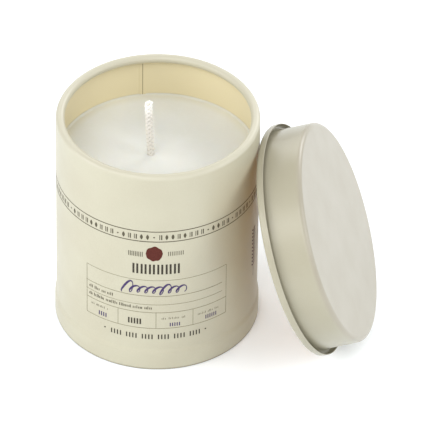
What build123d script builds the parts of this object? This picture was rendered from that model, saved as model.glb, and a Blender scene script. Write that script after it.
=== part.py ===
from build123d import *
from math import acos, atan, cos, degrees, hypot, radians, sin
import os

# Round candle tin, in millimetres. +Z is up and z = 0 is the surface it stands on.
# The tin's own axis is the Z axis, and its printed front faces -Y.

# Rolled tinplate body
body_diameter = 54.0
tin_height = 65.0
sheet = 0.2
mouth_curl_radius = 1.2
mouth_curl_sweep = 290
lap_width = 1.6
lap_thickness = 0.15
lap_angle = 99

# Base, and the seam where the body's flared foot is rolled under its rim
seam_height = 7.2
flare_height = 2.4
seam_corner = 0.35
lip_height = 1.2
panel_rise = 2.6
panel_corner = 0.6
hook_gap = 0.4

# Slip lid, leaning on the tin's right side
lid_play = 5.2
lid_depth = 12.0
lid_corner = 1.4
bead_width = 1.6
bead_height = 2.1
lean_tilt = 20.8
lean_facing = -7.0
lean_touch = -8.8
lean_clearance = 0.2
lean_below_rim = 5.0

# Candle
wax_drop = 14.0
meniscus_width = 0.9
meniscus_height = 0.4
wick_diameter = 2.2
core_diameter = 0.9
wick_stands_out = 17.5
wick_shift_x = -2.6
wick_shift_y = 0.8
wick_turn = 2.5
wick_turn_radius = 60.0
tab_diameter = 14.0
tab_thickness = 0.3
neck_height = 5.0
neck_wall = 0.3
sticker_diameter = 13.0
sticker_thickness = 0.5

body_radius = body_diameter / 2
inner_radius = body_radius - sheet
foot_radius = body_radius + 2 * sheet
foot_top = seam_height - flare_height
hook_top = foot_top - hook_gap
fold_centre = inner_radius + sheet / 2
fold_height = 2.5 * sheet
flare_angle = 2 * atan(2 * sheet / flare_height)
flare_radius = flare_height / 2 / sin(flare_angle)
flare_out_r = inner_radius + sheet / 2 + flare_radius
flare_in_r = foot_radius - sheet / 2 - flare_radius
panel_top = panel_rise + sheet
tab_bottom = panel_top + sticker_thickness
wax_top = tin_height - wax_drop
lid_wall_radius = inner_radius + sheet + lid_play / 2 + sheet
flange_radius = lid_wall_radius + bead_width
bead_radius = (bead_width + sheet) / 2
bead_centre = lid_wall_radius - sheet + bead_radius


def strip(r0, z0, r1, z1):
    """A straight run of sheet between two corners of its section."""
    return Pos((r0 + r1) / 2, (z0 + z1) / 2) * Rectangle(r1 - r0, z1 - z0)


def bend(r, z, inner, outer, start, sweep):
    """A curved run of sheet about the point (r, z)."""
    far = CenterArc((r, z), outer, start, sweep)
    near = CenterArc((r, z), inner, start, sweep)
    return make_face([far, near, Line(far @ 0, near @ 0), Line(far @ 1, near @ 1)])


def turned(pieces):
    """The solid swept by a section, drawn as radius and height, once round the Z axis."""
    section = pieces[0]
    for piece in pieces[1:]:
        section = section + piece
    return revolve(Plane.XZ * section, Axis.Z, 360)


def inside_lap():
    """The overlap of the body's side seam, a narrow strip down the inside of the wall."""
    low = seam_height + sheet
    height = tin_height - 2 * mouth_curl_radius - low
    block = Box(2 * lap_thickness + 2, lap_width, height)
    block = Pos(inner_radius, 0, low + height / 2) * block
    ring = Cylinder(inner_radius + sheet / 2, 3 * tin_height)
    ring = ring - Cylinder(inner_radius - lap_thickness, 3 * tin_height)
    return Rot(0, 0, lap_angle) * (block & ring)


def flare():
    """The wall's shallow double bend, which moves it out by two thicknesses of sheet."""
    near = flare_radius - sheet / 2
    far = flare_radius + sheet / 2
    turn = degrees(flare_angle)
    outward = bend(flare_out_r, seam_height, near, far, 180, turn)
    upright = bend(flare_in_r, foot_top, near, far, 0, turn)
    return [outward, upright]


def foot_channel():
    """The flared foot rolled under: a flat ring with a rounded corner on each side, and a lip."""
    left = inner_radius - 2 * sheet
    corner = seam_corner
    skirt = strip(foot_radius - sheet, corner, foot_radius, foot_top)
    outside = bend(foot_radius - corner, corner, corner - sheet, corner, 270, 90)
    flat = strip(left + corner, 0, foot_radius - corner, sheet)
    inside = bend(left + corner, corner, corner - sheet, corner, 180, 90)
    lip = strip(left, corner, left + sheet, lip_height)
    return [skirt, outside, flat, inside, lip]


def tin_body():
    """Wall with its mouth curled inwards, its foot flared and rolled under, and the side lap."""
    curl = mouth_curl_radius
    curl_r = body_radius - curl
    curl_z = tin_height - curl
    wall = strip(inner_radius, seam_height, body_radius, curl_z)
    mouth = bend(curl_r, curl_z, curl - sheet, curl, 0, mouth_curl_sweep)
    return turned([wall, mouth] + flare() + foot_channel()) + inside_lap()


def tin_base():
    """Raised panel whose rim goes down, folds outwards and stands up as a hook in the foot."""
    corner = panel_corner
    bend_r = inner_radius - sheet - corner
    bend_z = panel_rise - corner
    panel = strip(0, panel_rise, bend_r, panel_top)
    shoulder = bend(bend_r, bend_z, corner, corner + sheet, 0, 90)
    chuck_wall = strip(inner_radius - sheet, fold_height, inner_radius, bend_z)
    fold = bend(fold_centre, fold_height, sheet / 2, 1.5 * sheet, 180, 180)
    hook = strip(body_radius, fold_height, body_radius + sheet, hook_top)
    return turned([panel, shoulder, chuck_wall, fold, hook])


def base_seam_compound():
    """Sealing ring that fills the slot inside the base's hook."""
    return turned([strip(inner_radius, fold_height, body_radius, hook_top)])


def lean_angle():
    """How far the lid's axis is raised. Its upper edge must meet the wall below the mouth."""
    reach = (tin_height - lean_below_rim - bead_radius) / (2 * bead_centre)
    return radians(max(lean_tilt, degrees(acos(min(1, reach)))))


def lean_lid(lid):
    """Stand the lid on its bead, with the top of the bead just clear of the tin's wall.

    Seen from above, the middle of the bead is an ellipse. The point of it that is nearest to
    the wall lies where its outward normal points at the tin's axis.
    """
    tilt = lean_angle()
    touch = radians(lean_touch)
    turn = radians(lean_touch - lean_facing)
    short = bead_centre * sin(tilt)
    scale = hypot(short * cos(turn), bead_centre * sin(turn))
    along = short ** 2 * cos(turn) / scale
    across = bead_centre ** 2 * sin(turn) / scale
    reach = body_radius + lean_clearance + bead_radius
    nearest = Pos(reach * cos(touch), reach * sin(touch), bead_centre * cos(tilt) + bead_radius)
    turned_out = Rot(0, 0, lean_facing) * Pos(along, across, 0) * Rot(0, 90 - degrees(tilt), 0)
    return nearest * turned_out * Pos(0, 0, -bead_radius) * lid


def lid():
    """Flat disc, rounded corner, short wall, and an open edge turned out and back up as a bead."""
    corner = lid_corner
    face = strip(0, lid_depth - sheet, lid_wall_radius - corner, lid_depth)
    shoulder = bend(lid_wall_radius - corner, lid_depth - corner, corner - sheet, corner, 0, 90)
    wall = strip(lid_wall_radius - sheet, bead_radius, lid_wall_radius, lid_depth - corner)
    bead = bend(bead_centre, bead_radius, bead_radius - sheet, bead_radius, 180, 180)
    lip = strip(flange_radius - sheet, bead_radius, flange_radius, bead_height)
    return lean_lid(turned([face, shoulder, wall, bead, lip]))


def wick_path():
    """Upright through the neck of the tab, then leaning a little to the tip."""
    turn = tab_bottom + tab_thickness + neck_height + wick_turn
    tip = (wick_shift_x, wick_shift_y, wax_top + wick_stands_out)
    return FilletPolyline((0, 0, tab_bottom), (0, 0, turn), tip, radius=wick_turn_radius)


def wick_cord(diameter):
    """A round cord along the wick's path."""
    end = Plane(origin=(0, 0, tab_bottom), z_dir=(0, 0, 1)) * Circle(diameter / 2)
    return sweep(end, path=wick_path())


def wick_tab(cord):
    """Thin disc with a short neck gripped round the wick."""
    neck_radius = wick_diameter / 2 + neck_wall
    disc = Pos(0, 0, tab_bottom + tab_thickness / 2) * Cylinder(tab_diameter / 2, tab_thickness)
    neck = Pos(0, 0, tab_bottom + tab_thickness + neck_height / 2) * Cylinder(neck_radius, neck_height)
    return disc + neck - cord


def wick_sticker():
    """Round adhesive pad that holds the tab to the base panel."""
    return Pos(0, 0, panel_top + sticker_thickness / 2) * Cylinder(sticker_diameter / 2, sticker_thickness)


def wax_foot():
    """The wax's outline where it follows the flare: over the base's hook and in to the wall."""
    hook = foot_radius - sheet
    turn = degrees(flare_angle)
    upright = CenterArc((flare_in_r, foot_top), flare_radius - sheet / 2, 0, turn)
    outward = CenterArc((flare_out_r, seam_height), flare_radius + sheet / 2, 180, turn)
    over = Line((inner_radius, hook_top), (hook, hook_top))
    return [over, Line((hook, hook_top), (hook, foot_top)), upright, outward]


def wax_section():
    """Half section of the wax: it fills the tin to the wall and creeps a little up it at the top."""
    bend_r = inner_radius - sheet - panel_corner
    bend_z = panel_rise - panel_corner
    creep = inner_radius - meniscus_width
    low = Line((0, panel_top), (bend_r, panel_top))
    shoulder = CenterArc((bend_r, bend_z), panel_corner + sheet, 0, 90)
    seam = Line((inner_radius, bend_z), (inner_radius, hook_top))
    side = Line((inner_radius, seam_height), (inner_radius, wax_top + meniscus_height))
    middle = (creep + 0.6 * meniscus_width, wax_top + 0.25 * meniscus_height)
    edge = ThreePointArc((inner_radius, wax_top + meniscus_height), middle, (creep, wax_top))
    top = Line((creep, wax_top), (0, wax_top))
    axis = Line((0, wax_top), (0, panel_top))
    return make_face([low, shoulder, seam] + wax_foot() + [side, edge, top, axis])


def wax_fill(cord, tab, sticker):
    """Poured wax, set round the wick, the tab, the sticker and the side lap."""
    return turned([wax_section()]) - cord - tab - sticker - inside_lap()


def save(name, solid):
    export_step(solid, "parts/" + name + ".step")


def main():
    os.makedirs("parts", exist_ok=True)
    cord = wick_cord(wick_diameter)
    core = wick_cord(core_diameter)
    tab = wick_tab(cord)
    sticker = wick_sticker()
    save("tin_body", tin_body())
    save("tin_base", tin_base())
    save("base_seam_compound", base_seam_compound())
    save("lid", lid())
    save("wick_core", core)
    save("wick_braid", cord - core)
    save("wick_tab", tab)
    save("wick_sticker", sticker)
    save("wax_fill", wax_fill(cord, tab, sticker))


main()
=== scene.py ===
import random
from math import atan, cos, hypot, pi, radians, sin, sqrt, tau

import bmesh
import bpy
from mathutils import Matrix, Vector, noise


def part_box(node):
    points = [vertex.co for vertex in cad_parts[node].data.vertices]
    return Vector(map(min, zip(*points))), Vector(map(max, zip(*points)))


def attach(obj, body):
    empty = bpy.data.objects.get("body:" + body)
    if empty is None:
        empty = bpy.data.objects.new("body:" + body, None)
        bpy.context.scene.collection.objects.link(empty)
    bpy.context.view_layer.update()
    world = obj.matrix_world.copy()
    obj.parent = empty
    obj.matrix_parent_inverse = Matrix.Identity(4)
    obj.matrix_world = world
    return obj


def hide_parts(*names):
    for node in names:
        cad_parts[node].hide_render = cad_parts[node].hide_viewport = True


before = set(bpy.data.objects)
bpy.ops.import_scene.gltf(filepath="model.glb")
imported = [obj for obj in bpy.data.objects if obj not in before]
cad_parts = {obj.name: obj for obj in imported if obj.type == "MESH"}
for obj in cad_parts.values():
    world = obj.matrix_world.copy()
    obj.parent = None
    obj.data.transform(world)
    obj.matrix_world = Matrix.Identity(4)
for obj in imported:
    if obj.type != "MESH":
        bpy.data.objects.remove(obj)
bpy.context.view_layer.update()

MM = 0.001
random.seed(12)

# ---------------------------------------------------------------- places, from the frame
SHEET = 0.2 * MM
body_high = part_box("tin_body")[1]
WALL = body_high.x - 2 * SHEET                      # outside radius of the tin's wall
RIM = body_high.z                                   # top of the curled mouth
CURL = 1.2 * MM                                     # radius of the curl's section
wax_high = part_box("wax_fill")[1]
BORE = WALL - SHEET                                 # inside radius of the wall
WAX_CREEP = 0.4 * MM                                # how far the wax climbs the wall
WAX_TOP = wax_high.z - WAX_CREEP
FLARE_TOP, FLARE_BOTTOM = 7.2, 4.8                  # heights of the wall's double bend, in mm
TAB_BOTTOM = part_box("wick_braid")[0].z               # where the wick starts, at the tab's underside
WICK_TIP = Vector((-2.6, 0.8, 68.5)) * MM
WICK_TURN = Vector((0, 0, TAB_BOTTOM + 7.8 * MM))   # where the upright stretch ends
SIDE_SEAM = radians(99)                             # azimuth of the body's side seam
LAP_WIDTH, LAP_THICK = 1.6 * MM, 0.15 * MM          # the side seam's overlap, inside the wall
LID_CORNER_R, LID_CORNER_Z = 28.4, 10.6             # centre of the lid's rounded corner, in mm
LID_TILT = radians(20.8)                            # how far the lid's axis is raised
LID_FACING = radians(-7.0)                          # azimuth of the lid's flat face
LID_CENTRE = Vector((37.315, -8.180, 29.093)) * MM  # middle of the lid's open edge


# ---------------------------------------------------------------- node materials
class Look:
    """One material's node tree, with short calls that add a node and return its output."""

    def __init__(self, name):
        self.material = bpy.data.materials.new(name)
        self.material.use_nodes = True
        self.tree = self.material.node_tree
        self.shader = self.tree.nodes["Principled BSDF"]
        self.place = self.add("ShaderNodeTexCoord").outputs["Object"]

    def add(self, kind, **settings):
        made = self.tree.nodes.new(kind)
        for key, value in settings.items():
            setattr(made, key, value)
        return made

    def put(self, socket, value):
        if isinstance(value, bpy.types.NodeSocket):
            self.tree.links.new(value, socket)
        else:
            socket.default_value = value

    def set(self, **values):
        """Set the shader's sockets; an underscore in a key stands for a space."""
        for key, value in values.items():
            self.put(self.shader.inputs[key.replace("_", " ")], value)

    def math(self, operation, a, b=0.0, c=0.0):
        made = self.add("ShaderNodeMath", operation=operation)
        for socket, value in zip(made.inputs, (a, b, c)):
            self.put(socket, value)
        return made.outputs[0]

    def smooth(self, value, low, high):
        """0 at low and 1 at high, eased between them; low may be the larger of the two."""
        made = self.add("ShaderNodeMapRange", interpolation_type="SMOOTHSTEP")
        for key, item in (("Value", value), ("From Min", low), ("From Max", high)):
            self.put(made.inputs[key], item)
        return made.outputs["Result"]

    def span(self, value, low, high, to_low, to_high):
        """A straight change of range."""
        made = self.add("ShaderNodeMapRange")
        items = (("Value", value), ("From Min", low), ("From Max", high),
                 ("To Min", to_low), ("To Max", to_high))
        for key, item in items:
            self.put(made.inputs[key], item)
        return made.outputs["Result"]

    def split(self, vector=None):
        made = self.add("ShaderNodeSeparateXYZ")
        self.put(made.inputs[0], vector or self.place)
        return made.outputs

    def radius(self, vector=None):
        """Distance from the Z axis."""
        x, y, _ = self.split(vector)
        squares = self.math("ADD", self.math("MULTIPLY", x, x), self.math("MULTIPLY", y, y))
        return self.math("SQRT", squares)

    def scaled(self, factors, vector=None):
        made = self.add("ShaderNodeVectorMath", operation="MULTIPLY")
        self.put(made.inputs[0], vector or self.place)
        made.inputs[1].default_value = factors
        return made.outputs[0]

    def noise(self, size, detail=3.0, rough=0.5, vector=None):
        """Noise whose features are about size across."""
        made = self.add("ShaderNodeTexNoise")
        self.put(made.inputs["Vector"], vector or self.place)
        made.inputs["Scale"].default_value = 1 / size
        made.inputs["Detail"].default_value = detail
        made.inputs["Roughness"].default_value = rough
        return made.outputs["Fac"]

    def blend(self, factor, a, b):
        made = self.add("ShaderNodeMix", data_type="RGBA")
        for key, value in (("Factor", factor), ("A", a), ("B", b)):
            socket = [s for s in made.inputs if s.name == key and s.enabled][0]
            self.put(socket, value)
        return [s for s in made.outputs if s.enabled][0]

    def bump(self, height, distance, strength=1.0, under=None):
        made = self.add("ShaderNodeBump")
        self.put(made.inputs["Height"], height)
        made.inputs["Distance"].default_value = distance
        made.inputs["Strength"].default_value = strength
        if under:
            self.put(made.inputs["Normal"], under)
        return made.outputs[0]


def linear(red, green, blue):
    """A colour given as screen values from 0 to 255."""
    def channel(value):
        value = value / 255
        return value / 12.92 if value < 0.04045 else ((value + 0.055) / 1.055) ** 2.4
    return (channel(red), channel(green), channel(blue), 1.0)


def tin_look():
    """Cream satin enamel, warmer inside, with the side seam's line, a painted highlight on the curled rim,
    and a dark line of painted shade at the foot.
    """
    look = Look("cream_enamel")
    radius = look.radius()
    x, y, height = look.split()
    outside = linear(181, 177, 156)
    inside = linear(208, 197, 162)
    drift = look.noise(14 * MM, 3)
    speck = look.noise(0.35 * MM, 2)
    paint = look.blend(look.smooth(drift, 0.3, 0.75), outside, linear(178, 173, 152))
    paint = look.blend(look.span(speck, 0.3, 0.7, 0.0, 0.10), paint, linear(150, 143, 116))
    hollow = look.smooth(radius, BORE + 0.6 * SHEET, BORE + 0.1 * SHEET)
    below = look.smooth(height, RIM - 1.1 * CURL, RIM - 1.9 * CURL)
    hollow = look.math("MULTIPLY", hollow, below)
    # Painted highlight: the top of the curled rim is painted a little lighter, standing in for the light
    # that falls on it.
    crown_highlight = look.smooth(height, RIM - 1.3 * CURL, RIM - 0.4 * CURL)
    paint = look.blend(crown_highlight, paint, linear(183, 179, 160))
    paint = look.blend(hollow, paint, inside)
    ahead = look.math("MULTIPLY_ADD", x, cos(SIDE_SEAM), look.math("MULTIPLY", y, sin(SIDE_SEAM)))
    aside = look.math("MULTIPLY_ADD", x, -sin(SIDE_SEAM), look.math("MULTIPLY", y, cos(SIDE_SEAM)))
    weld = look.smooth(look.math("ABSOLUTE", aside), 0.17 * MM, 0.06 * MM)
    weld = look.math("MULTIPLY", weld, look.smooth(ahead, 0, 1 * MM))
    weld = look.math("MULTIPLY", weld, look.smooth(height, RIM - 1.6 * CURL, RIM - 2.2 * CURL))
    weld = look.math("MULTIPLY", weld, look.span(hollow, 0, 1, 0.3, 0.7))
    paint = look.blend(weld, paint, linear(104, 92, 62))
    # Painted shade: a dark line painted along the lowest edge, standing in for the shade where the foot
    # meets the floor.
    foot = look.math("MULTIPLY", look.smooth(height, 0.75 * MM, 0.2 * MM), 0.8)
    paint = look.blend(foot, paint, linear(104, 98, 74))
    look.set(Base_Color=paint, Roughness=look.span(drift, 0.3, 0.7, 0.38, 0.48))
    look.set(Coat_Weight=0.15, Coat_Roughness=0.35, IOR=1.5)
    peel = look.bump(look.noise(0.9 * MM, 2), 0.02 * MM, 0.35)
    look.set(Normal=look.bump(look.noise(16 * MM, 1), 0.2 * MM, 0.15, peel))
    return look.material


def lid_place(look):
    """The lid's own frame: Z along its axis, from the open edge to the flat face."""
    turn = look.add("ShaderNodeMapping", vector_type="TEXTURE")
    look.put(turn.inputs["Vector"], look.place)
    turn.inputs["Location"].default_value = LID_CENTRE
    turn.inputs["Rotation"].default_value = (0, pi / 2 - LID_TILT, LID_FACING)
    return turn.outputs[0]


def lid_look():
    """Pale champagne enamel outside, with painted shade making the flat face a little darker, and gold
    lacquer inside, satin, with faint handling marks.
    """
    look = Look("lid_enamel")
    here = lid_place(look)
    height = look.split(here)[2]
    drift = look.noise(10 * MM, 3, vector=here)
    speck = look.noise(0.3 * MM, 2)
    side = look.blend(look.smooth(drift, 0.3, 0.75), linear(161, 156, 136), linear(158, 153, 132))
    # Painted shade: the flat face is painted a little darker and greyer than the wall, holding down the
    # light it catches.
    paint = look.blend(look.smooth(height, 10.4 * MM, 11.6 * MM), side, linear(157, 151, 135))
    paint = look.blend(look.span(speck, 0.3, 0.7, 0.0, 0.10), paint, linear(142, 136, 115))
    over = look.math("MAXIMUM", look.math("SUBTRACT", look.radius(here), LID_CORNER_R * MM), 0)
    above = look.math("MAXIMUM", look.math("SUBTRACT", height, LID_CORNER_Z * MM), 0)
    squares = look.math("ADD", look.math("POWER", over, 2), look.math("POWER", above, 2))
    depth = look.math("SQRT", squares)
    hollow = look.smooth(depth, 1.34 * MM, 1.26 * MM)
    hollow = look.math("MULTIPLY", hollow, look.smooth(height, 0.5 * MM, 0.9 * MM))
    gold = look.blend(look.smooth(drift, 0.3, 0.7), linear(210, 168, 84), linear(200, 156, 72))
    look.set(Base_Color=look.blend(hollow, paint, gold), Metallic=look.math("MULTIPLY", hollow, 0.55))
    look.set(Roughness=look.span(drift, 0.3, 0.7, 0.34, 0.44), Coat_Weight=0.3, Coat_Roughness=0.25)
    marks = look.noise(1.0, 3, vector=look.scaled((1 / (0.5 * MM), 1 / (9 * MM), 1 / (6 * MM)), here))
    fine = look.bump(marks, 0.01 * MM, 0.06)
    look.set(Normal=look.bump(look.noise(24 * MM, 1, vector=here), 0.1 * MM, 0.08, fine))
    return look.material


def base_look():
    """Cream enamel a shade darker than the wall's, a little rubbed at its lowest edge."""
    look = Look("base_enamel")
    height = look.split()[2]
    drift = look.noise(9 * MM, 3)
    paint = look.blend(look.smooth(drift, 0.35, 0.7), linear(176, 172, 152), linear(169, 163, 143))
    low = look.smooth(height, 0.25 * MM, 0.02 * MM)
    rubbed = look.math("MULTIPLY", low, look.smooth(drift, 0.35, 0.6))
    paint = look.blend(rubbed, paint, linear(186, 183, 173))
    look.set(Base_Color=paint, Metallic=look.math("MULTIPLY", rubbed, 0.8))
    look.set(Roughness=look.span(drift, 0.3, 0.7, 0.32, 0.45), Coat_Weight=0.2, Coat_Roughness=0.3)
    look.set(Normal=look.bump(look.noise(0.9 * MM, 2), 0.02 * MM, 0.35))
    return look.material


def wax_look():
    """Soy wax: off-white, softly see-through, with a faint frosted bloom, and painted shade with the
    wall's reflected colour near the wall.
    """
    look = Look("soy_wax")
    radius = look.radius()
    cloud = look.noise(7 * MM, 4, 0.6)
    bloom = look.noise(1.2 * MM, 4, 0.65)
    wax = look.blend(look.smooth(cloud, 0.35, 0.7), linear(217, 218, 213), linear(215, 216, 210))
    wax = look.blend(look.smooth(bloom, 0.5, 0.85), wax, linear(220, 221, 217))
    # Painted shade and painted reflection: the wax is painted darker and yellower towards the wall,
    # standing in for the wall's shade and its reflected colour.
    edge = look.smooth(radius, BORE - 3.5 * MM, BORE)
    wax = look.blend(look.math("MULTIPLY", edge, 0.6), wax, linear(210, 205, 183))
    look.set(Base_Color=wax, Roughness=look.span(bloom, 0.3, 0.7, 0.46, 0.60))
    look.set(Subsurface_Weight=0.35, Subsurface_Radius=(1.0, 0.8, 0.55), Subsurface_Scale=2.5 * MM)
    soft = look.bump(bloom, 0.03 * MM, 0.15)
    look.set(Normal=look.bump(cloud, 0.1 * MM, 0.12, soft))
    return look.material


def cotton_look(name, colour, waxed):
    """Bleached cotton with fine fibres: dry and bright at the tip, soaked with wax below."""
    look = Look(name)
    dry = look.smooth(look.split()[2], WAX_TOP + 12.5 * MM, WAX_TOP + 15.5 * MM)
    fibre = look.noise(1.0, 3, vector=look.scaled((1 / (0.08 * MM), 1 / (0.08 * MM), 1 / (0.5 * MM))))
    cotton = look.blend(look.span(fibre, 0.3, 0.7, 0, 0.35), colour, linear(222, 219, 210))
    look.set(Base_Color=look.blend(dry, waxed, cotton))
    look.set(Roughness=look.span(fibre, 0.3, 0.7, 0.75, 0.95), Sheen_Weight=0.15, Sheen_Roughness=0.5)
    look.set(Subsurface_Weight=0.15, Subsurface_Radius=(1, 0.95, 0.9), Subsurface_Scale=0.4 * MM)
    look.set(Normal=look.bump(fibre, 0.05 * MM, 0.5))
    return look.material


def ink_look(name, colour, worn):
    """Printed ink, thinner in places so that a little enamel shows through."""
    look = Look(name)
    thin = look.noise(0.5 * MM, 4, 0.7)
    look.set(Base_Color=look.blend(look.span(thin, 0.35, 0.7, 0.0, 0.35), colour, worn))
    look.set(Roughness=look.span(thin, 0.3, 0.7, 0.55, 0.75), Specular_IOR_Level=0.25)
    look.set(Normal=look.bump(thin, 0.01 * MM, 0.3))
    return look.material


def steel_look():
    """Bare tinplate with rolling marks, for the wick's tab."""
    look = Look("bare_tinplate")
    grain = look.noise(1.0, 2, vector=look.scaled((1 / (0.06 * MM), 1 / (2 * MM), 1 / (0.5 * MM))))
    streaks = look.span(grain, 0.3, 0.7, 0, 1)
    look.set(Base_Color=look.blend(streaks, linear(196, 196, 193), linear(178, 177, 173)))
    look.set(Metallic=1.0, Roughness=look.span(grain, 0.3, 0.7, 0.28, 0.42))
    look.set(Normal=look.bump(grain, 0.01 * MM, 0.3))
    return look.material


def foam_look(name, colour):
    """Fine matt foam or compound."""
    look = Look(name)
    cells = look.noise(0.25 * MM, 3, 0.6)
    look.set(Base_Color=look.blend(look.span(cells, 0.3, 0.7, 0, 0.3), colour, linear(190, 186, 172)))
    look.set(Roughness=look.span(cells, 0.3, 0.7, 0.75, 0.9), Normal=look.bump(cells, 0.05 * MM, 0.4))
    return look.material


# ---------------------------------------------------------------- meshes
LID_FRAME = (Matrix.Translation(LID_CENTRE) @ Matrix.Rotation(LID_FACING, 4, "Z")
             @ Matrix.Rotation(pi / 2 - LID_TILT, 4, "Y"))


def finished(made, material, slot, body, *nodes):
    """Give a piece its material, and hand it to the frame."""
    made.data.materials.append(material)
    bpy.context.collection.objects.link(made)
    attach(made, body)
    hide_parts(*nodes)
    return made


def arc(r, z, radius, start, end):
    """Points along part of a circle in the half section, in degrees, in mm."""
    steps = max(4, round(abs(end - start) / 9))
    angles = [radians(start + (end - start) * i / steps) for i in range(steps + 1)]
    return [(r + radius * cos(a), z + radius * sin(a)) for a in angles]


def edge_normals(outline):
    """For each edge of a closed outline: its outward normals at its two ends."""
    count = len(outline)
    edges = [Vector(outline[(i + 1) % count]) - Vector(outline[i]) for i in range(count)]
    plain = [Vector((e.y, -e.x)).normalized() for e in edges]
    weight = [e.length ** 2 for e in edges]

    def at(i, j):
        if plain[i].angle(plain[j]) > radians(32):
            return plain[i]
        return (plain[i] * weight[i] + plain[j] * weight[j]).normalized()
    return [(at(i, i - 1), at(i, (i + 1) % count)) for i in range(count)]


def revolved(name, outline, sides=288, place=Matrix.Identity(4), exact=True):
    """Turn a closed outline of radius and height round the Z axis, with exact normals if asked.

    The outline runs anticlockwise, with the radius to the right and the height up.
    """
    outline = [(r * MM, z * MM) for r, z in outline]
    normals = edge_normals(outline)
    spin = [(cos(tau * k / sides), sin(tau * k / sides)) for k in range(sides)]
    verts, first = [], []
    for r, z in outline:
        first.append(len(verts))
        verts += [(0, 0, z)] if r < 1e-9 else [(r * c, r * s, z) for c, s in spin]
    faces, loops = [], []
    for i, (near, far) in enumerate(normals):
        j = (i + 1) % len(outline)
        on_axis = (outline[i][0] < 1e-9, outline[j][0] < 1e-9)
        if all(on_axis):
            continue
        for k in range(sides):
            m = (k + 1) % sides
            corners = [(first[i], near, k, on_axis[0]), (first[i], near, m, on_axis[0]),
                       (first[j], far, m, on_axis[1]), (first[j], far, k, on_axis[1])]
            if on_axis[0]:
                corners.pop(1)
            if on_axis[1]:
                corners.pop(3)
            faces.append([at if axis else at + n for at, _, n, axis in corners])
            loops += [(v.x * spin[n][0], v.x * spin[n][1], v.y) for _, v, n, _ in corners]
    mesh = bpy.data.meshes.new(name)
    mesh.from_pydata([place @ Vector(v) for v in verts], [], faces)
    turn = place.to_3x3()
    for face in mesh.polygons:
        face.use_smooth = True
    if exact:
        mesh.normals_split_custom_set([turn @ Vector(n) for n in loops])
    return bpy.data.objects.new(name, mesh)


def flare(side, steps=10):
    """The wall's shallow double bend from the foot up, on its outer (1) or inner (-1) side."""
    rise, out = FLARE_TOP - FLARE_BOTTOM, 0.4
    angle = 2 * atan(out / rise)
    radius = rise / 2 / sin(angle)
    low, high = WALL / MM + 0.3 - radius, WALL / MM - 0.1 + radius
    turns = [angle * i / steps for i in range(steps + 1)]
    near, far = radius + side * 0.1, radius - side * 0.1
    upright = [(low + near * cos(a), FLARE_BOTTOM + near * sin(a)) for a in turns]
    outward = [(high - far * cos(a), FLARE_TOP - far * sin(a)) for a in reversed(turns[:-1])]
    return upright + outward


def body_outline():
    """Wall, curled mouth, and the flared foot rolled under into a lip."""
    outer, inner = WALL / MM, BORE / MM
    curl = CURL / MM
    r, z = outer - curl, RIM / MM - curl
    lip = inner - 0.4
    under = arc(lip + 0.35, 0.35, 0.35, 180, 270) + arc(outer + 0.05, 0.35, 0.35, 270, 360)
    over = arc(outer + 0.05, 0.35, 0.15, 360, 270) + arc(lip + 0.35, 0.35, 0.15, 270, 180)
    mouth = arc(r, z, curl, 0, 290) + arc(r, z, curl - 0.2, 290, 0)
    top = [(outer, z - 0.4)] + mouth + [(inner, z - 0.4)]
    points = under + [(outer + 0.4, 4.4)] + flare(1) + [(outer, 7.8)] + top + [(inner, 7.8)]
    return points + flare(-1)[::-1] + [(outer + 0.2, 4.4)] + over + [(lip + 0.2, 1.2), (lip, 1.2)]


def base_outline():
    """Raised panel with a shallow ring pressed in it, and the rim that folds out and up."""
    inner = BORE / MM
    fold = arc(inner + 0.1, 0.5, 0.3, 180, 360) + [(inner + 0.4, 4.4), (inner + 0.2, 4.4)]
    slot = arc(inner + 0.1, 0.5, 0.1, 360, 180)
    panel = arc(inner - 0.8, 2.0, 0.8, 0, 90)
    panel += [(20.2, 2.8), (19.6, 2.95), (18.4, 2.95), (17.8, 2.8), (0, 2.8)]
    under = [(0, 2.6), (17.8, 2.6), (18.4, 2.75), (19.6, 2.75), (20.2, 2.6)]
    return fold + slot + panel + under + arc(inner - 0.8, 2.0, 0.6, 90, 0)


def lid_outline():
    """Flat face, rounded corner, wall, and the open edge turned out and up as a bead."""
    inside = arc(LID_CORNER_R, LID_CORNER_Z, 1.2, 0, 90) + [(27.6, 11.8), (0, 11.8), (0, 12), (27.6, 12)]
    outside = arc(LID_CORNER_R, LID_CORNER_Z, 1.4, 90, 0) + [(29.8, 10.0), (29.8, 1.4)]
    bead = arc(30.5, 0.9, 0.7, 180, 360) + [(31.2, 1.9)] + arc(31.3, 2.0, 0.1, 180, 0) + [(31.4, 1.2)]
    bead += arc(30.5, 0.9, 0.9, 360, 180)
    return (inside + outside + bead + [(29.6, 1.4), (29.6, 10.0)])[::-1]


def wax_outline():
    """The wax from the base's panel to its flat top, creeping a little up the wall."""
    inner = BORE / MM - 0.01
    top = WAX_TOP / MM
    steps = (1, 0.93, 0.85, 0.76, 0.65, 0.5, 0.33, 0.15, 0)
    creep = [(inner - 0.9 + 0.9 * t, top + 0.4 * t ** 2.6) for t in steps]
    low = arc(26.0, 2.0, 0.8, 90, 0)
    pool = [(25.5 - 0.5 * k, top) for k in range(51)] + [(0, top)]
    return [(0, 2.8), (24, 2.8)] + low + [(inner, 4.0), (inner, top - 2)] + creep + pool


def pool_wax(made):
    """Let the wax's flat top rise a little round the wick, and ripple very slightly."""
    wick = wick_at(WAX_TOP)
    for vert in made.data.vertices:
        if abs(vert.co.z - WAX_TOP) < 0.01 * MM:
            reach = (vert.co - wick).length
            ripple = noise.noise(Vector((vert.co.x, vert.co.y, 0)) * 140) * 0.02 * MM
            vert.co.z += 0.35 * MM * 2.718 ** -((reach / (1.9 * MM)) ** 2) + ripple


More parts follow.
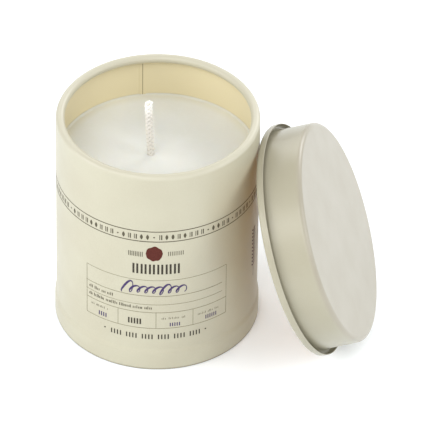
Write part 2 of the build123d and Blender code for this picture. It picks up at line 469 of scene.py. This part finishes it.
def side_lap():
    """The side seam's overlap: a thin strip inside the wall, from the curl to just under the wax's top."""
    mesh = bmesh.new()
    low, high = WAX_TOP - 1 * MM, RIM - 2 * CURL
    near, far = BORE - LAP_THICK, BORE + 0.05 * MM
    rings = []
    for k in range(9):
        angle = SIDE_SEAM + LAP_WIDTH / 2 / BORE * (k / 4 - 1)
        section = ((near, low), (far, low), (far, high), (near, high))
        rings.append([(r * cos(angle), r * sin(angle), z) for r, z in section])
    tube(mesh, rings)
    bmesh.ops.recalc_face_normals(mesh, faces=mesh.faces)
    out = bpy.data.meshes.new("side_lap")
    mesh.to_mesh(out)
    mesh.free()
    return bpy.data.objects.new("side_lap", out)


def dress(node, material):
    """Give a CAD node a finished material."""
    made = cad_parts[node]
    made.data.materials.clear()
    made.data.materials.append(material)


# ---------------------------------------------------------------- wick
def wick_line(step):
    """Points and directions up the wick: upright from the tab, then a gentle turn to the tip."""
    lean = (WICK_TIP - WICK_TURN).normalized()
    upright = (WICK_TURN - Vector((0, 0, TAB_BOTTOM))).length
    length = upright + (WICK_TIP - WICK_TURN).length
    count = round(length / step)
    here = Vector((0, 0, TAB_BOTTOM))
    line = []
    for i in range(count + 1):
        t = (i * length / count - upright) / (3 * MM) + 0.5
        t = min(1, max(0, t))
        ahead = Vector((0, 0, 1)).lerp(lean, t * t * (3 - 2 * t)).normalized()
        line.append((here.copy(), ahead))
        here += ahead * length / count
    return line


def wick_at(height):
    """The wick's centre where it passes a height."""
    return min((p for p, _ in wick_line(0.5 * MM)), key=lambda p: abs(p.z - height))


def tube(mesh, rings):
    """Add a closed tube through rings of corners to a bmesh."""
    made = [[mesh.verts.new(co) for co in ring] for ring in rings]
    for low, high in zip(made, made[1:]):
        for k in range(len(low)):
            m = (k + 1) % len(low)
            mesh.faces.new((low[k], low[m], high[m], high[k]))
    mesh.faces.new(made[0][::-1])
    mesh.faces.new(made[-1])


def strand_ring(centre, ahead, angle, away, wide, thick, slope):
    """One flattened section of a strand, lying across its own slanting direction."""
    side = Vector((0, 1, 0)).cross(ahead).normalized()
    front = ahead.cross(side)
    out = side * cos(angle) + front * sin(angle)
    along = ahead.cross(out)
    middle = centre + out * away
    ring = []
    across = (along - ahead * slope * 0.6).normalized()
    for k in range(8):
        a = tau * k / 8
        ring.append(middle + out * thick * sin(a) + across * wide * cos(a))
    return ring


def wick():
    """Eight flat cotton strands plaited over and under each other, loose at the tip."""
    line = wick_line(0.2 * MM)
    mesh = bmesh.new()
    pitch = 5.2 * MM
    for way in (1, -1):
        for k in range(4):
            cut = random.randint(0, 5)
            splay = random.uniform(0.1, 0.85) * MM
            rings = []
            for i, (centre, ahead) in enumerate(line[:len(line) - cut]):
                run = i * 0.2 * MM
                turn = tau * run / pitch
                loose = max(0, (i - len(line) + 10) / 10)
                away = 0.74 * MM + way * 0.12 * MM * cos(4 * turn) + splay * loose ** 2
                wide = 0.38 * MM * (1 - 0.35 * loose)
                angle = way * turn + k * pi / 2
                rings.append(strand_ring(centre, ahead, angle, away, wide, 0.21 * MM, way))
            tube(mesh, rings)
    out = bpy.data.meshes.new("wick_plait")
    bmesh.ops.recalc_face_normals(mesh, faces=mesh.faces)
    mesh.to_mesh(out)
    mesh.free()
    for face in out.polygons:
        face.use_smooth = True
    return bpy.data.objects.new("wick_plait", out)


# ---------------------------------------------------------------- print
INK_LOW, INK_HIGH = WALL + 0.012 * MM, WALL + 0.03 * MM     # the ink's faces, just off the wall
GIRTH = tau * WALL / MM                                     # round the wall, in mm


def wrapped(across, up, radius):
    """A point of the flat print, in mm from the middle of the front, on the tin's wall."""
    angle = across * MM / WALL - pi / 2
    return (radius * cos(angle), radius * sin(angle), up * MM)


def printed(name, strips, colour, worn):
    """Ink that stands a hair proud of the wall: each strip is a row of left and right points."""
    mesh = bmesh.new()
    for strip in strips:
        closed = strip[0] == strip[-1]
        rows = strip[:-1] if closed else strip
        corners = [[mesh.verts.new(wrapped(*point, radius)) for radius in (INK_LOW, INK_HIGH)
                    for point in pair] for pair in rows]
        pairs = list(zip(corners, corners[1:] + corners[:1]))
        for (a, b, c, d), (e, f, g, h) in pairs if closed else pairs[:-1]:
            for face in ((c, d, h, g), (b, a, e, f), (a, c, g, e), (d, b, f, h)):
                mesh.faces.new(face)
        if not closed:
            a, b, c, d = corners[0]
            mesh.faces.new((a, b, d, c))
            a, b, c, d = corners[-1]
            mesh.faces.new((b, a, c, d))
    bmesh.ops.recalc_face_normals(mesh, faces=mesh.faces)
    out = bpy.data.meshes.new(name)
    mesh.to_mesh(out)
    mesh.free()
    made = bpy.data.objects.new(name, out)
    return finished(made, ink_look(name + "_ink", colour, worn), "printed_tinplate", "tin")


def level(left, right, up, thick):
    """A hairline along the wall."""
    steps = max(1, round((right - left) / 0.6))
    places = [left + (right - left) * i / steps for i in range(steps + 1)]
    return [((x, up - thick / 2), (x, up + thick / 2)) for x in places]


def ring(up, thick):
    """A hairline all round the wall."""
    places = [GIRTH * i / 320 for i in range(320)]
    line = [((x, up - thick / 2), (x, up + thick / 2)) for x in places]
    return line + line[:1]


def upright(across, low, high, thick):
    """A straight bar up the wall."""
    return [((across - thick / 2, low), (across + thick / 2, low)),
            ((across - thick / 2, high), (across + thick / 2, high))]


def lozenge(across, up, wide, high):
    """A small pointed oval."""
    rows = []
    for i in range(9):
        t = -1 + 2 * i / 8
        half = wide / 2 * (1 - t * t) + 0.01
        rows.append(((across - half, up + t * high / 2), (across + half, up + t * high / 2)))
    return rows


def stroke(points, widths):
    """A pen line through points, as wide as asked at each."""
    rows = []
    for i, (x, y) in enumerate(points):
        before = points[max(0, i - 1)]
        after = points[min(len(points) - 1, i + 1)]
        dx, dy = after[0] - before[0], after[1] - before[1]
        size = hypot(dx, dy) or 1
        nx, ny = -dy / size * widths[i] / 2, dx / size * widths[i] / 2
        rows.append(((x - nx, y - ny), (x + nx, y + ny)))
    return rows


def frieze():
    """Groups of small uprights and ovals between the two rings, all round the tin."""
    strips = []
    place = 0.9
    while place < GIRTH - 3:
        for _ in range(random.choice((4, 6, 8, 8, 9))):
            if place > GIRTH - 1.6:
                break
            if random.random() < 0.35:
                strips.append(lozenge(place, 45.0, 0.75, 1.75))
            else:
                strips.append(upright(place - 0.26, 44.2, 45.8, 0.2))
                strips.append(upright(place + 0.26, 44.2, 45.8, 0.32))
            place += 1.62
        strips.append(lozenge(place + 0.1, 45.0, 0.5, 0.5))
        place += 1.7
    return strips


def tiny_rows(left, right, up, high, thick=0.22):
    """A row of very small uprights in uneven groups, where the label has small print."""
    strips = []
    place = left
    while place < right:
        for _ in range(random.choice((3, 4, 6, 7, 8))):
            if place > right:
                break
            tall = high * random.choice((0.7, 0.7, 1.0))
            strips.append(upright(place, up - high / 2, up - high / 2 + tall, thick))
            place += random.choice((0.36, 0.42, 0.5))
        place += 0.45
    return strips


def heading():
    """Six bold upright ornaments."""
    strips = []
    for k in range(6):
        middle = -5.75 + k * 2.2
        strips.append(upright(middle - 0.52, 32.55, 35.85, 0.54))
        strips.append(upright(middle + 0.52, 32.55, 35.85, 0.54))
    return strips


def flourish():
    """A slanting looped pen line, with a tall loop near its start and another past its middle."""
    points, widths = [], []
    turns = 8
    count = 360
    for i in range(count + 1):
        t = i / count
        phase = tau * turns * t
        tall = 1.25 + 1.6 * max(0, 1 - abs(t - 0.05) / 0.09) + 1.2 * max(0, 1 - abs(t - 0.66) / 0.07)
        y = 27.0 - tall * cos(phase) * (1.0 if cos(phase) < 0 else 0.75)
        x = -8.9 + 16.6 * t - 0.75 * sin(phase) + 0.38 * (y - 27.0)
        points.append((x, y))
        widths.append(0.26 + 0.36 * max(0, sin(phase - 0.6)))
    return [stroke(points, widths)]


def seal_spot():
    """Round blob with an uneven edge, in narrow upright slices."""
    def half(x):
        return 2.4 * sqrt(max(0.0, 1 - (x / 2.25) ** 2)) + 0.02
    edges = [-2.25 + 4.5 * i / 18 for i in range(19)]
    strips = []
    for near, far in zip(edges, edges[1:]):
        low = [-half(x) + 0.12 * sin(4 * x) for x in (near, far)]
        high = [half(x) + 0.14 * sin(3 * x + 1) for x in (near, far)]
        strips.append([((near - 0.75, 39.45 + low[0]), (far - 0.75, 39.45 + low[1])),
                       ((near - 0.75, 39.45 + high[0]), (far - 0.75, 39.45 + high[1]))])
    return strips


def sprig(across, low, high):
    """Upright stem, bare at its foot, with pairs of small slanting buds above."""
    stem = [(across + 0.15 * sin(k), low + (high - low) * k / 14) for k in range(15)]
    strips = [stroke(stem, [0.16] * 15)]
    for k in range(11):
        up = low + (high - low) * (0.22 + 0.072 * k)
        for way in (-1, 1):
            tip = (across + way * 1.25, up + 0.95)
            start = (across, up)
            mid = ((tip[0] + start[0]) / 2 + way * 0.1, (tip[1] + start[1]) / 2)
            strips.append(stroke([start, mid, tip], [0.12, 0.55, 0.1]))
    return strips


def label_frame():
    """The label's frame, the lines across it, and the uprights between its four lower boxes."""
    left, low, middle, high = -20.4, 14.0, 19.4, 30.4
    lines = [level(left, 20.0, high, 0.13), level(-20.6, 18.7, 25.0, 0.17)]
    lines += [level(-20.6, 18.7, 22.1, 0.12)]
    lines += [level(left, 20.2, middle, 0.16), level(left, 20.2, low, 0.16)]
    lines += [upright(left, low, high, 0.15), upright(20.1, low, high, 0.13)]
    return lines + [upright(x, low, middle, 0.13) for x in (-10.54, -0.2, 9.8)]


def small_print():
    """Five rows of small print in the frame, and a short row on each side of the seal."""
    small = tiny_rows(-19.4, -12.0, 23.5, 1.0) + tiny_rows(-19.4, -1.2, 21.0, 1.0)
    small += tiny_rows(-18.7, -13.3, 17.9, 0.7, 0.13) + tiny_rows(1.4, 7.6, 17.4, 0.7, 0.13)
    small += tiny_rows(11.3, 17.7, 17.2, 0.7, 0.13)
    small += [upright(-7.6 + 0.46 * k, 39.0 - 0.7, 39.0 + 0.9, 0.2) for k in range(9)]
    return small + [upright(3.0 + 0.56 * k, 39.4 - 0.7, 39.4 + 0.7, 0.2) for k in range(8)]


def bold_print():
    """The heading, the long row under the frame, and a short block in one of its lower boxes."""
    foot = [upright(-12.4 + 0.86 * k, 10.3, 11.9, 0.34) for k in range(29) if k % 5 != 4]
    foot += [lozenge(-14.4, 11.4, 0.5, 0.5), lozenge(13.5, 11.4, 0.5, 0.5)]
    block = [upright(-7.5 + 0.78 * k, 15.2, 17.1, 0.42) for k in range(5)]
    return heading() + foot + block


def violet_print():
    """The looped pen line, and short marks in the other three lower boxes."""
    marks = [upright(-16.2 + 0.7 * k, 14.9, 16.3, 0.32) for k in range(4)]
    marks += [upright(3.6 + 0.62 * k, 14.6, 15.8, 0.28) for k in range(5)]
    marks += [upright(13.6 + 0.62 * k, 14.8, 16.1, 0.28) for k in range(6)]
    return flourish() + marks


def label():
    """The whole print: dark line work, pale frame lines, a red spot and violet pen work."""
    dark = linear(72, 67, 53)
    worn = linear(120, 114, 94)
    printed("print_rings", [ring(46.85, 0.26), ring(43.5, 0.26)] + frieze(), dark, worn)
    printed("print_frame", label_frame(), linear(122, 118, 98), linear(146, 141, 120))
    printed("print_small", small_print(), dark, worn)
    printed("print_bold", bold_print(), linear(50, 45, 37), linear(78, 72, 60))
    printed("print_violet", violet_print(), linear(58, 44, 88), linear(96, 82, 118))
    printed("print_sprig", sprig(33.6, 17.5, 34.0), linear(104, 90, 100), linear(132, 122, 118))
    printed("print_seal", seal_spot(), linear(84, 31, 20), linear(50, 18, 12))


dress("wick_core", cotton_look("core_paper", linear(240, 236, 226), linear(212, 208, 198)))
dress("wick_tab", steel_look())
dress("wick_sticker", foam_look("sticker_foam", linear(235, 234, 228)))
dress("base_seam_compound", foam_look("seam_compound", linear(150, 145, 130)))
enamel = tin_look()
finished(revolved("tin_shell", body_outline()), enamel, "printed_tinplate", "tin", "tin_body")
finished(side_lap(), enamel, "printed_tinplate", "tin", "tin_body")
finished(revolved("tin_foot", base_outline()), base_look(), "base_tinplate", "tin", "tin_base")
finished(revolved("slip_lid", lid_outline(), place=LID_FRAME), lid_look(), "lid_lacquer", "lid", "lid")
wax = revolved("wax", wax_outline(), exact=False)
pool_wax(wax)
finished(wax, wax_look(), "candle_wax", "tin", "wax_fill")
braid = cotton_look("braid_cotton", linear(244, 243, 241), linear(217, 214, 209))
finished(wick(), braid, "cotton_braid", "tin", "wick_braid")
label()


# ---------------------------------------------------------------- floor, light, camera
def floor():
    """A wide sheet of white paper, which glows faintly so that it comes out white."""
    look = Look("floor_paper")
    grain = look.noise(0.4 * MM, 3)
    flecks = look.span(grain, 0.3, 0.7, 0, 1)
    look.set(Base_Color=look.blend(flecks, (0.88, 0.91, 0.94, 1), (0.86, 0.89, 0.92, 1)))
    look.set(Roughness=0.8, Emission_Color=(1, 1, 1, 1), Emission_Strength=0.12)
    side = 6.0
    verts = [(-side, -side, 0), (side, -side, 0), (side, side, 0), (-side, side, 0)]
    mesh = bpy.data.meshes.new("floor")
    mesh.from_pydata(verts, [], [(0, 1, 2, 3)])
    made = bpy.data.objects.new("floor", mesh)
    bpy.context.collection.objects.link(made)
    mesh.materials.append(look.material)


def lamp(name, place, aim, size, power):
    """A round area lamp at a place, facing a point."""
    light = bpy.data.lights.new(name, "AREA")
    light.shape = "DISK"
    light.size = size
    light.energy = power
    made = bpy.data.objects.new(name, light)
    made.location = place
    made.rotation_euler = (Vector(aim) - Vector(place)).to_track_quat("-Z", "Y").to_euler()
    bpy.context.collection.objects.link(made)


def studio():
    """White surroundings and six soft lamps, with plain colours in the picture."""
    world = bpy.data.worlds.new("studio")
    bpy.context.scene.world = world
    world.use_nodes = True
    world.node_tree.nodes["Background"].inputs["Color"].default_value = (1, 1, 1, 1)
    world.node_tree.nodes["Background"].inputs["Strength"].default_value = 0.56
    middle = (0, 0, 0.03)
    lamp("left", (-1.15, -0.30, 0.55), middle, 0.8, 7.4)
    lamp("right", (1.10, -0.35, 0.75), middle, 0.8, 7.0)
    lamp("front", (-0.50, -0.85, 1.05), middle, 0.8, 7.1)
    lamp("low_front", (0.10, -1.20, 0.80), middle, 1.2, 5.5)
    lamp("back", (-0.30, 1.10, 0.70), middle, 0.8, 3.8)
    lamp("back_right", (0.75, 1.00, 0.75), middle, 0.8, 9.0)
    bpy.context.scene.view_settings.view_transform = "Standard"


def camera():
    """Plain long lens, looking down at the tin from in front."""
    lens = bpy.data.cameras.new("camera")
    lens.sensor_width = 36
    lens.lens = 504.7
    lens.clip_start = 0.05
    lens.clip_end = 50
    made = bpy.data.objects.new("camera", lens)
    made.location = (0, -1.2479, 1.0344)
    pitch, yaw, roll = 0.677, 0.0121, -0.0139
    ahead = Vector((sin(yaw) * cos(pitch), cos(yaw) * cos(pitch), -sin(pitch)))
    right = Vector((cos(yaw), -sin(yaw), 0))
    down = ahead.cross(right)
    right, down = cos(roll) * right + sin(roll) * down, cos(roll) * down - sin(roll) * right
    turn = Matrix((right, -down, -ahead)).transposed().to_4x4()
    made.matrix_world = Matrix.Translation(made.location) @ turn
    bpy.context.collection.objects.link(made)
    bpy.context.scene.camera = made


floor()
studio()
camera()
